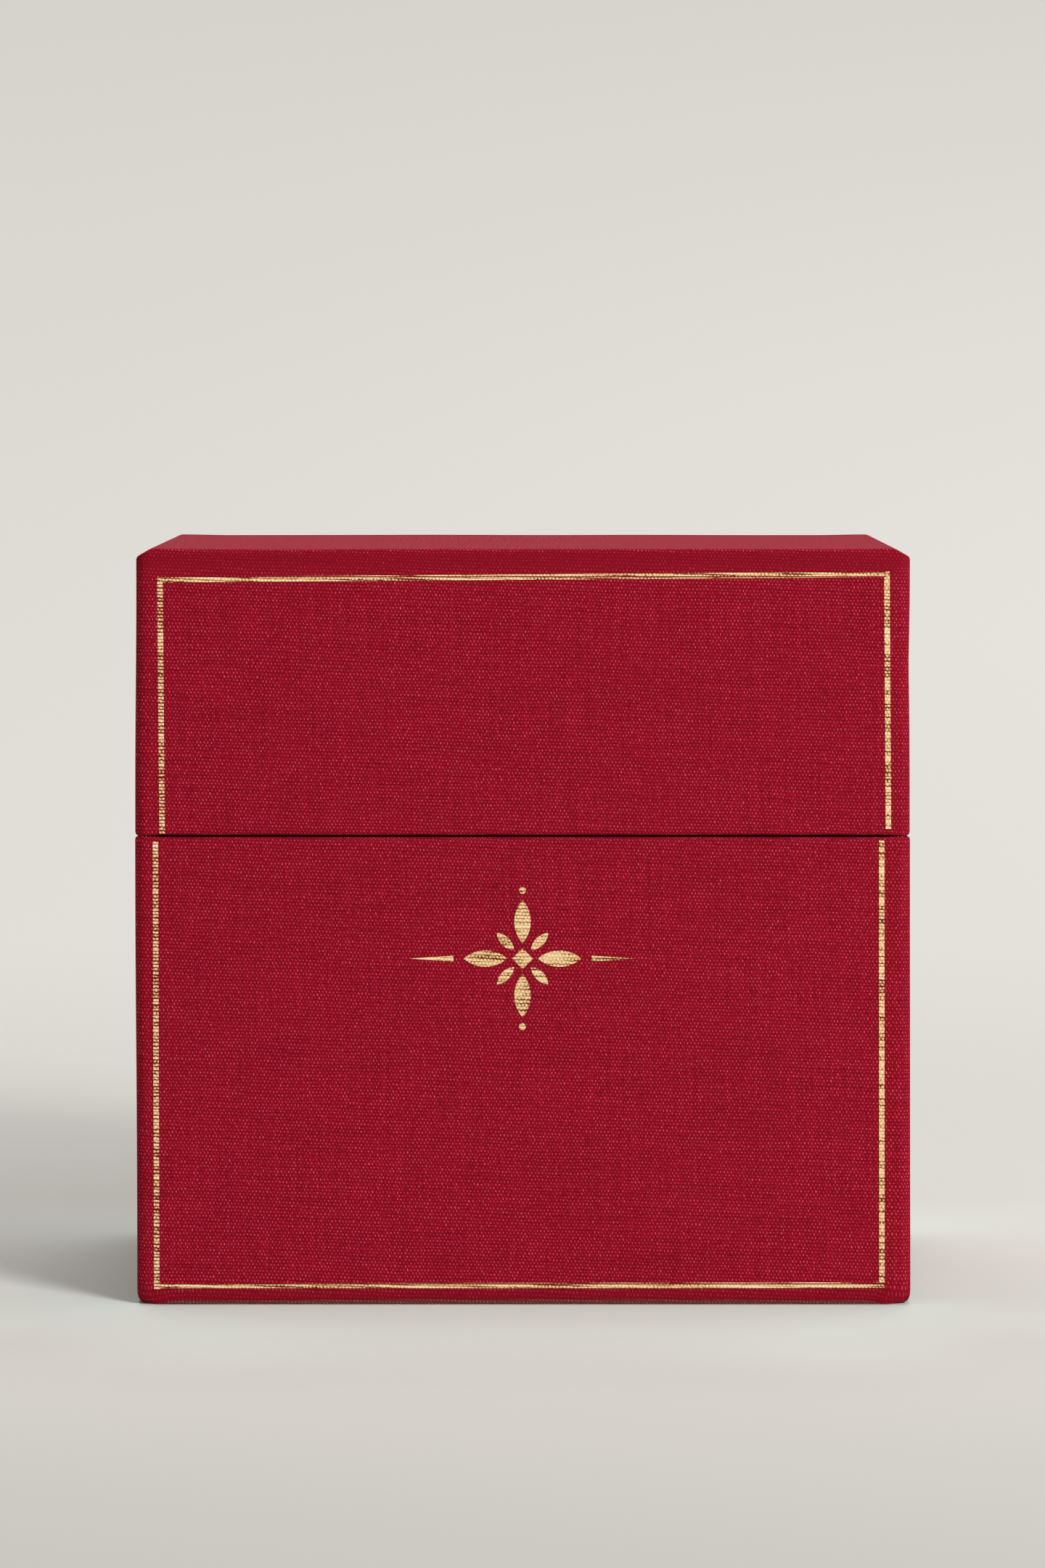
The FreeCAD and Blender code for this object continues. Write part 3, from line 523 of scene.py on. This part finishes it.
def layWeave(piece, low, high, top):
    # lays the weave map in metres: along the walls and up them, over the rim and down inside, or over the top
    wide, deep = (high.x - low.x) / mm, (high.y - low.y) / mm
    rim, outward = (low.z / mm, -1) if top else (high.z / mm, 1)
    mesh = piece.data
    sheet = mesh.uv_layers.new(name="weave").uv
    for face in mesh.polygons:
        centre, facing = face.center / mm, face.normal
        flat = abs(facing.z) > cover["flatShare"]
        inner = not flat and facing.x * centre.x + facing.y * centre.y < 0
        onSide = wide / 2 - abs(centre.x) < deep / 2 - abs(centre.y)
        for loop in face.loop_indices:
            x, y, z = mesh.vertices[mesh.loops[loop].vertex_index].co / mm
            if flat and top and facing.z > 0:
                across, up = x, z + y + deep / 2
            elif flat and not top and facing.z < 0:
                across, up = x, z - y
            elif flat or inner:
                inward = wide / 2 - abs(x) if onSide else deep / 2 - abs(y)
                atWall = (math.copysign(wide / 2, x), y) if onSide else (x, math.copysign(deep / 2, y))
                across = around(*atWall, wide, deep, cover["cornerRound"])
                up = rim + outward * (inward + abs(rim - z))
            else:
                across, up = around(x, y, wide, deep, cover["cornerRound"]), z
                edge, off = cover["edgeRound"], abs(rim - z)
                if off < edge:
                    up += outward * max(edge - math.sqrt(edge ** 2 - (edge - off) ** 2), 0)
            sheet[loop].vector = (across * mm, up * mm)


def soften(value):
    value = min(max(value, 0), 1)
    return value * value * (3 - 2 * value)


def grow(value, start, reach):
    # from 0 at the start to 1 when the value has passed it by the reach
    return soften((value - start) / reach)


def fade(value, end, reach):
    # from 1 down to 0 at the end
    return soften((end - value) / reach)


def ripple(x, y, z, seed):
    # slow unevenness of a hand-covered wall, from 0 to 1, in a pattern of its own for each seed
    return 0.5 + 0.5 * noise.noise(Vector((x, y, z)) * 0.03 + Vector((seed, 0, 0)))


def atEdge(x, y, insetX, insetY, reach):
    # 1 close to an upright edge of the box, and 0 away from it
    return grow(abs(x), halfWide - insetX, reach) * grow(abs(y), halfDeep - insetY, reach)


def rollFront(x, y, z, seed, share=1):
    # the front's upright edges roll back, and the wall between them isn't quite flat
    reach = cover["sideReach"]
    y += cover["sideRoll"] * (max(abs(x) - (halfWide - reach), 0) / reach) ** 2
    return y + cover["frontWave"] * ripple(x, 0, z, seed) * fade(abs(x), halfWide - 1, 8) * share


def workBase(piece):
    # moves the corners of the base's cover off the plain block
    high = cover["baseRim"]
    for corner in piece.data.vertices:
        x, y, z = corner.co / mm
        out = grow(abs(x), halfWide - cover["sideReach"] - 1, cover["sideReach"])
        atCorner = atEdge(x, y, *cover["cornerBand"])
        fold = atEdge(x, y, *cover["foldBand"])
        stand = cover["flare"] * grow(z, *cover["flareRise"])
        if x > 0:
            stand = cover["flareRight"] * (1.5 - 0.5 * grow(z, 0, 103))
        x += math.copysign(stand, x) * out
        if y < 1 - halfDeep:
            y = rollFront(x, y, z, 3)
            y += cover["roll"] * (max(cover["rollFrom"] - z, 0) / cover["rollReach"]) ** 2
            sideways = 0.75 + 0.25 * grow(abs(x), *cover["hangSpan"])
            z -= cover["hang"] * fade(z, *cover["hangBand"]) * sideways
        if abs(x) > halfWide - 1:
            x -= math.copysign(cover["wave"] * ripple(0, y, z, 8 + math.copysign(2, x)), x)
        z += atCorner * cover["lump"] * grow(z, high - 3, 3)
        z = max(z - fold * cover["footDrop"] * fade(z, *cover["dropBand"]), 0.02)
        depth = min(max((cover["footRound"] - z) / cover["footRound"], 0), 1)
        drawn = atCorner * cover["footIn"] * (1 - math.sqrt(1 - cover["footTurn"] * depth * depth))
        x -= math.copysign(drawn, x)
        y -= math.copysign(drawn, y)
        z += cover["uneven"] * (ripple(x, y, 0, 14) - 0.5) * grow(z, high - 2, 2)
        corner.co = Vector((x, y, z)) * mm


def workLid(piece):
    # the same for the lid's cover
    rim = cover["lidRim"]
    for corner in piece.data.vertices:
        x, y, z = corner.co / mm
        out = grow(abs(x), halfWide - cover["sideReach"] - 1, cover["sideReach"])
        atCorner = atEdge(x, y, *cover["cornerBand"])
        stand = cover["flare"] * fade(z, *cover["lidFlareFall"])
        if x > 0:
            stand -= cover["flareTop"] * grow(z, *cover["flareTopRise"])
        x += math.copysign(stand, x) * out
        if y < 1 - halfDeep:
            y = rollFront(x, y, z, 5, fade(z, 165, 3))
        if abs(x) > halfWide - 1:
            x -= math.copysign(cover["wave"] * ripple(0, y, z, 9 + math.copysign(2, x)), x)
        if y < 1 - halfDeep:
            y -= cover["lip"] * grow(z, *cover["lipBand"])
        if z > 166:
            z -= cover["sag"] * ripple(x, y, 0, 21) * fade(abs(x), *cover["sagSpan"])
        z -= atCorner * cover["lump"] * fade(z, rim + 3, 3)
        z += cover["uneven"] * (ripple(x, y, 0, 17) - 0.5) * fade(z, rim + 2, 2)
        corner.co = Vector((x, y, z)) * mm


def loopAt(piece, height):
    pick(piece, "EDGE", lambda middle, along: near(middle.z, height, 0.05) and lying(middle, along))


def openWall(piece, height, up, wall):
    # rolls the cover over the rim and down inside: the rim's face goes, and its edge is drawn in and down
    wide, deep, edge = 2 * halfWide, 2 * halfDeep, cover["edgeRound"]
    centre = (0, 0, height * mm)
    pick(piece, "FACE", lambda middle, facing: facing.z * up > 0.99)
    bpy.ops.mesh.delete(type="ONLY_FACE")
    loopAt(piece, height)
    shrink = ((wide - 2 * wall) / (wide - 2 * edge), (deep - 2 * wall) / (deep - 2 * edge), 1)
    bpy.ops.mesh.extrude_edges_move()
    bpy.ops.transform.resize(value=shrink, center_override=centre)
    bpy.ops.mesh.extrude_edges_move(TRANSFORM_OT_translate={"value": (0, 0, -up * cover["turnIn"] * mm)})
    bpy.ops.mesh.extrude_edges_move()
    back = ((wide - 2 * wall + 2 * cover["cloth"]) / (wide - 2 * wall),
            (deep - 2 * wall + 2 * cover["cloth"]) / (deep - 2 * wall), 1)
    bpy.ops.transform.resize(value=back, center_override=centre)


def backWindow(piece, low, high, rim):
    # the back cloth and the hinge strip lie between the cover's laps
    side = halfWide - cover["lap"]
    pick(piece, "FACE", lambda middle, facing: middle.y > halfDeep - 4 and abs(middle.x) < side and (
         facing.y > 0.9 and middle.y > halfDeep - 1 and low < middle.z < high
         or abs(middle.z - rim) < 1 or facing.y < -0.9 and abs(middle.z - rim) < cover["turnIn"] + 1))
    bpy.ops.mesh.delete(type="FACE")
    pick(piece, "EDGE", lambda middle, along: middle.y > halfDeep - 0.1 and (
        near(abs(middle.x), side) and upright(middle, along) and low < middle.z < high
        or near(middle.z, high) and abs(middle.x) < side and abs(along.x) > 0.9))
    bpy.ops.mesh.extrude_edges_move(TRANSFORM_OT_translate={"value": (0, -cover["cloth"] * mm, 0)})


def panels(piece, names, body, node):
    # parts the finished cover along its folds, so that each wall has its own map
    bpy.context.view_layer.update()
    for name, belongs in names:
        only(piece)
        bpy.ops.object.mode_set(mode="EDIT")
        pick(piece, "FACE", belongs)
        bpy.ops.mesh.separate(type="SELECTED")
        bpy.ops.object.mode_set(mode="OBJECT")
        part = [other for other in bpy.context.selected_objects if other != piece][0]
        part.name = part.data.name = name
    for name in [name for name, belongs in names] + [piece.name]:
        part = bpy.data.objects[name]
        part.data.materials.clear()
        part.data.materials.append(bookCloth)
        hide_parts(node)
        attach(part, body)


def frontSide(middle, facing):
    return -middle.y - halfDeep > abs(middle.x) - halfWide


def leftSide(middle, facing):
    return middle.x < 0 and -middle.x - halfWide > middle.y - halfDeep


def rightSide(middle, facing):
    return middle.x > 0 and middle.x - halfWide > middle.y - halfDeep


def standing(belongs):
    # the same side without the lid's top
    return lambda middle, facing: facing.z < cover["flatShare"] and belongs(middle, facing)


def cutGrid(heights):
    # cuts a cover so that it can be shaped: closely near its edges, and where the laps of the back end
    lapEnd = halfWide - cover["lap"]
    for x in slices(-halfWide, halfWide, cover["grid"], cover["edgeCuts"]) + [-lapEnd, lapEnd]:
        cut((x, 0, 0), (1, 0, 0))
    for y in slices(-halfDeep, halfDeep, cover["grid"], cover["edgeCuts"]):
        cut((0, y, 0), (0, 1, 0))
    for z in heights:
        cut((0, 0, z), (0, 0, 1))


sides = [("front", frontSide), ("left", leftSide), ("right", rightSide)]

low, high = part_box("base_cover_cloth")
low.y, high.y = -halfDeep * mm, halfDeep * mm
base = block("base_cover_back", low, high)
bevel(base, upright, cover["cornerRound"], 6)
bevel(base, lying, cover["edgeRound"], 4)
openWall(base, high.z / mm, 1, cover["wall"])
pick(base, "FACE", lambda middle, facing: facing.z < -0.99 and middle.z < 2)
bpy.ops.mesh.inset(thickness=cover["turnUnder"] * mm, depth=0)
bpy.ops.mesh.delete(type="FACE")
cutGrid(slices(low.z / mm, high.z / mm, cover["grid"], cover["rimCuts"]))
backWindow(base, -1, 110, high.z / mm)
bpy.ops.object.mode_set(mode="OBJECT")
layWeave(base, low, high, top=False)
workBase(base)
smooth(base)
panels(base, [("base_cover_" + side, belongs) for side, belongs in sides],
       "base", "base_cover_cloth")

low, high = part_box("lid_cover_cloth")
low.y, high.y = -halfDeep * mm, halfDeep * mm
lid = block("lid_cover_top", low, high)
run, drop = cover["bevelRun"], cover["bevelDrop"]
for side in (-1, 1):
    cut((side * (halfWide - run), 0, high.z / mm), Vector((side * drop, 0, run)).normalized(), keep=False)
bevel(lid, upright, cover["cornerRound"], 6)
bevel(lid, lambda middle, along: middle.z > 160 and abs(along.z) < 0.9 and (
    abs(along.y) < 0.3 and near(abs(middle.y), halfDeep, 2) or abs(along.y) > 0.9), cover["topRound"], 4)
bevel(lid, lambda middle, along: middle.z < 104 and lying(middle, along), cover["edgeRound"], 4)
openWall(lid, low.z / mm, -1, cover["lidWall"])
seam = high.z / mm - cover["seamDrop"]
heights = slices(low.z / mm, high.z / mm - cover["edgeCuts"][0], cover["grid"], cover["rimCuts"])
cutGrid(heights + [seam] + cover["lipCuts"])
backWindow(lid, 0, seam, low.z / mm)
pick(lid, "VERT", lambda place, facing: place.y > 51.5 and near(abs(place.x), 80, 2.6)
     and near(place.z, low.z / mm + cover["turnIn"], 0.3))
bpy.ops.transform.translate(value=(0, 0, cover["lapExtra"] * mm))
bpy.ops.object.mode_set(mode="OBJECT")
layWeave(lid, low, high, top=True)
workLid(lid)
smooth(lid)
panels(lid, [("lid_cover_" + side, standing(belongs)) for side, belongs in sides],
       "lid", "lid_cover_cloth")


print("back cloth and hinge strip")

hinge = {
    "clothThick": -0.5, "width": 156, "edgeRound": 0.16, "softAngle": 50,
    # steps along the path, short at the fold and long away from it, and cuts across the width
    "foldStep": 0.12, "runStep": 6.0, "stepGrowth": 0.35, "lastStep": 0.6,
    "grid": 12, "edgeCuts": (0.6, 1.5, 4),
    # how far the hinge strip's map is drawn out in the fold and beside it
    "slack": 8, "foldReach": 0.17, "ease": 2, "easeReach": 0.26,
}


def pathOf(points, finest, coarsest):
    # the corners of a fold, with points between them: close ones near the hinge, wide ones far from it
    path = [Vector(points[0])]
    for end in map(Vector, points[1:]):
        start = path[-1].copy()
        gone, length = 0.0, (end - start).length
        while True:
            here = start.lerp(end, gone / length)
            gone += min(max(abs(here.y - hingeLevel) * hinge["stepGrowth"], finest), coarsest)
            if gone > length - finest * hinge["lastStep"]:
                break
            path.append(start.lerp(end, gone / length))
        path.append(end)
    return path


def strip(name, points, thick, width, slack=1):
    # a band of cloth drawn out along a path of (y, z) places, then given its thickness on its far side
    path = pathOf(points, hinge["foldStep"], hinge["runStep"])
    bpy.ops.object.select_all(action="DESELECT")
    bpy.ops.mesh.primitive_plane_add(size=1, location=(0, 0, 0))
    piece = bpy.context.object
    piece.name = piece.data.name = name
    piece.scale = (width * mm, mm, 1)
    bpy.ops.object.transform_apply(location=False, rotation=False, scale=True)
    bpy.ops.object.mode_set(mode="EDIT")
    pick(piece, "VERT", lambda place, facing: place.y > 0)
    bpy.ops.mesh.delete(type="VERT")
    pick(piece, "EDGE", lambda middle, along: True)
    bpy.ops.transform.translate(value=(0, (path[0].x + 0.5) * mm, path[0].y * mm))
    for before, after in zip(path, path[1:]):
        step = (after - before) * mm
        bpy.ops.mesh.extrude_edges_move(TRANSFORM_OT_translate={"value": (0, step.x, step.y)})
    bpy.ops.mesh.select_all(action="SELECT")
    for x in slices(-width / 2, width / 2, hinge["grid"], hinge["edgeCuts"]):
        cut((x, 0, 0), (1, 0, 0))
    bpy.ops.object.mode_set(mode="OBJECT")
    sheet = piece.data.uv_layers.new(name="weave").uv
    lengths = [0.0]
    for before, after in zip(path, path[1:]):
        # the fold's cloth is drawn out when the lid opens, so its map counts the open length
        level, drawn = (before.y + after.y) / 2, 1
        if near(level, hingeLevel, hinge["foldReach"]):
            drawn = slack
        elif near(level, hingeLevel, hinge["easeReach"]):
            drawn = min(slack, hinge["ease"])
        lengths.append(lengths[-1] + (after - before).length * drawn)
    for loop in piece.data.loops:
        place = piece.data.vertices[loop.vertex_index].co / mm
        nearest = min(range(len(path)), key=lambda k: (path[k] - Vector((place.y, place.z))).length)
        sheet[loop.index].vector = (place.x * mm, (points[0][1] + lengths[nearest]) * mm)
    body = piece.modifiers.new("body", "SOLIDIFY")
    body.thickness, body.offset, body.use_even_offset = thick * mm, 1, True
    finished(piece, body, softEdges(piece, hinge["edgeRound"], 2, hinge["softAngle"]))
    smooth(piece, hinge["softAngle"])
    piece.data.materials.append(bookCloth)
    return piece


backPath = [(41, 1.42), (54.2, 1.42), (54.62, 1.54), (54.88, 1.8), (54.99, 2.2), (54.99, 102.5),
            (54.86, 102.9), (54.8, 103.3), (54.86, 103.7), (54.99, 104.1), (54.99, 158.56)]
backCloth = strip("back_cloth", backPath, hinge["clothThick"], hinge["width"])
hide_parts("back_cloth_lower", "back_cloth_upper")

stripPath = [(51.5, 89.07), (51.5, 102.5), (51.6, 102.9), (51.9, 103.05), (53.6, 103.05), (53.85, 103.15),
             (53.92, 103.3), (53.85, 103.45), (53.6, 103.55), (52.5, 103.55), (52.15, 103.75), (52.0, 104.1),
             (52.0, 117.53)]
hingeStrip = strip("hinge_strip", stripPath, -hinge["clothThick"], hinge["width"], hinge["slack"])
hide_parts("hinge_strip_lower", "hinge_strip_upper")
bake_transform(backCloth)
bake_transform(hingeStrip)


print("linings and boards")

lining = {
    "fold": 0.35, "boardEdge": 1.15, "divider": 0.14, "steps": 3, "foldAngle": 40, "smoothAngle": 50,
    "plateOut": 1.9, "plateIn": 0.2, "plateRound": 2.2, "plateEdge": 0.35,
}


def softened(name, radius, body, finish):
    # a node's own shape, welded and with its folds rounded
    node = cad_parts[name]
    piece = node.copy()
    piece.data = node.data.copy()
    bpy.context.collection.objects.link(piece)
    piece.name = piece.data.name = name + "_folded"
    only(piece)
    bpy.ops.object.mode_set(mode="EDIT")
    bpy.ops.mesh.select_all(action="SELECT")
    bpy.ops.mesh.remove_doubles(threshold=0.00001)
    bpy.ops.mesh.dissolve_limited(angle_limit=math.radians(2))
    bpy.ops.object.mode_set(mode="OBJECT")
    finished(piece, softEdges(piece, radius, lining["steps"], lining["foldAngle"]))
    smooth(piece, lining["smoothAngle"])
    piece.data.materials.clear()
    piece.data.materials.append(finish)
    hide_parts(name)
    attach(piece, body)


softened("base_floor_board", lining["boardEdge"], "base", greyBoard)
for side in ("front", "left", "right", "back"):
    softened("neck_" + side + "_paper", lining["fold"], "base", winePaper)
for section in range(1, 6):
    softened("divider_%d" % section, lining["divider"], "section_%d" % section, buffCard)

low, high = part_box("foot_plate_cloth")
grown = Vector((lining["plateIn"] * mm, lining["plateOut"] * mm, 0))
plate = block("foot_plate", low - grown, high + grown)
bevel(plate, upright, lining["plateRound"], 6)
bevel(plate, lying, lining["plateEdge"], 3)
bpy.ops.object.mode_set(mode="OBJECT")
smooth(plate)
plate.data.materials.append(plateCloth)
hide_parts("foot_plate_cloth")
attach(plate, "base")


print("cards")

cards = {
    "count": 18, "thick": 0.35, "pitch": 0.45, "wide": 150, "tall": 140.3, "corner": 3.0, "edge": 0.05,
    "lean": 2.2983, "jogSide": 0.5, "jogUp": 0.21, "jogTilt": 0.0006, "jogTurn": 0.002,
}


def cardPack(section):
    # one card is modelled, copied down the pack, and each copy is knocked a little out of line
    rand = random.Random(40 + section)
    node = "cards_%d" % section
    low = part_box(node)[0]
    lean = math.radians(cards["lean"])
    made = []
    half = Vector((cards["wide"], cards["thick"], cards["tall"])) / 2
    one = block(node + "_pack", -half * mm, half * mm)
    bevel(one, lambda middle, along: abs(along.y) > 0.9, cards["corner"], 5)
    bevel(one, lambda middle, along: abs(along.y) < 0.1, cards["edge"], 1)
    bpy.ops.object.mode_set(mode="OBJECT")
    # the pack's lower front edge: the box's lowest, nearest point
    foot = Vector((0, low.y / mm, low.z / mm))
    for k in range(cards["count"]):
        card = one.copy()
        card.data = one.data.copy()
        bpy.context.collection.objects.link(card)
        out = (k + 0.5) * cards["pitch"]
        up = cards["tall"] / 2 + cards["jogUp"] * rand.random()
        side = (rand.random() - 0.5) * 2 * cards["jogSide"]
        place = foot + Vector((0, math.cos(lean), -math.sin(lean))) * out
        place += Vector((side, math.sin(lean) * up, math.cos(lean) * up))
        card.location = place * mm
        card.rotation_euler = (-lean + (rand.random() - 0.5) * cards["jogTilt"], 0,
                               (rand.random() - 0.5) * cards["jogTurn"])
        made.append(card)
    bpy.data.objects.remove(one)
    bpy.ops.object.select_all(action="DESELECT")
    for card in made:
        card.select_set(True)
    bpy.context.view_layer.objects.active = made[0]
    bpy.ops.object.join()
    pack = bpy.context.object
    pack.name = pack.data.name = node + "_pack"
    bpy.ops.object.transform_apply(location=True, rotation=True, scale=True)
    smooth(pack)
    pack.data.materials.clear()
    pack.data.materials.append(ivoryCard)
    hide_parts(node)
    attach(pack, "section_%d" % section)


for section in range(1, 6):
    cardPack(section)


print("ground and sky")

bpy.ops.object.select_all(action="DESELECT")
bpy.ops.mesh.primitive_circle_add(vertices=96, radius=studio["flatRadius"], fill_type="NGON")
ground = bpy.context.object
ground.name = ground.data.name = "ground"
bpy.ops.object.mode_set(mode="EDIT")
pick(ground, "EDGE", lambda middle, along: True)
radius, height, steps = studio["flatRadius"], 0.0, studio["sweepSteps"]
for step in range(1, steps + 1):
    # a sweep all round, so that no horizon shows from any side
    turned = math.radians(90) * step / steps
    nextRadius = studio["flatRadius"] + studio["sweepRadius"] * math.sin(turned)
    nextHeight = studio["sweepRadius"] * (1 - math.cos(turned))
    bpy.ops.mesh.extrude_edges_move(TRANSFORM_OT_translate={"value": (0, 0, nextHeight - height)})
    scale = nextRadius / radius
    bpy.ops.transform.resize(value=(scale, scale, 1), center_override=(0, 0, nextHeight))
    radius, height = nextRadius, nextHeight
bpy.ops.mesh.extrude_edges_move(TRANSFORM_OT_translate={"value": (0, 0, studio["wallHeight"] - height)})
bpy.ops.mesh.select_all(action="SELECT")
bpy.ops.mesh.normals_make_consistent(inside=True)
bpy.ops.object.mode_set(mode="OBJECT")
bpy.ops.object.shade_smooth()
sweep = Finish("paper_sweep")
x, y, z = sweep.place()
ahead = y - studio["nearPlace"] * 1000
away = ((x * x + ahead * ahead) ** 0.5 + z).rise(studio["farStart"] * 1000, studio["farFull"] * 1000)
eye = sweep.node("ShaderNodeLightPath", output="Is Camera Ray")
mirror = sweep.node("ShaderNodeLightPath", output="Is Glossy Ray")
# painted shade: the floor is coloured darker towards the front
tone = sweep.blend(y.rise(*studio["nearBand"]), paint(*studio["shadedGroundNear"]), paint(*studio["groundColour"]))
# painted light: the floor is coloured lighter close round the box's foot, where its contact shade would fall
beside = (x.size() - halfWide).atLeast(y.size() - halfDeep)
tone = sweep.blend(beside.rise(*studio["footBand"]), paint(*studio["litGroundFoot"]), tone)
# painted light: the floor just in front of the box is coloured lighter, against the shade the box casts there
front = 1 - (-halfDeep - y).rise(0, studio["frontReach"])
front = front * (-y).rise(*studio["frontStart"]) * (1 - x.size().rise(*studio["frontSides"]))
tone = sweep.blend(front, tone, paint(*studio["litGroundFront"]))
paper = sweep.node("ShaderNodeBsdfPrincipled", None, {"Base Color": tone,
                                                      "Roughness": 0.95, "Specular IOR Level": 0.1})
# painted light: far off, the floor and the wall glow for the camera and in reflections, lighter to the right
# and darker up high, instead of being lit
level = sweep.blend(x.rise(*studio["farSpan"]), paint(*studio["farLeft"]), paint(*studio["farRight"]))
level = sweep.blend(z.rise(*studio["farClimb"]), level, paint(*studio["farHigh"]))
backdropGlow = sweep.node("ShaderNodeEmission", None, {"Color": level, "Strength": 1.0})
mixed = sweep.node("ShaderNodeMixShader", None, {0: away * eye.atLeast(mirror), 1: paper, 2: backdropGlow})
sweep.node("ShaderNodeOutputMaterial", None, {"Surface": mixed})
ground.data.materials.append(sweep.material)
ground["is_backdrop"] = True

world = bpy.context.scene.world or bpy.data.worlds.new("sky")
bpy.context.scene.world = world
world.use_nodes = True
sky = Finish("sky", world.node_tree)
glow = sky.node("ShaderNodeBackground", None, {"Color": paint(*studio["skyColour"]),
                                               "Strength": studio["skyLight"]})
sky.node("ShaderNodeOutputWorld", None, {"Surface": glow})

low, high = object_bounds()
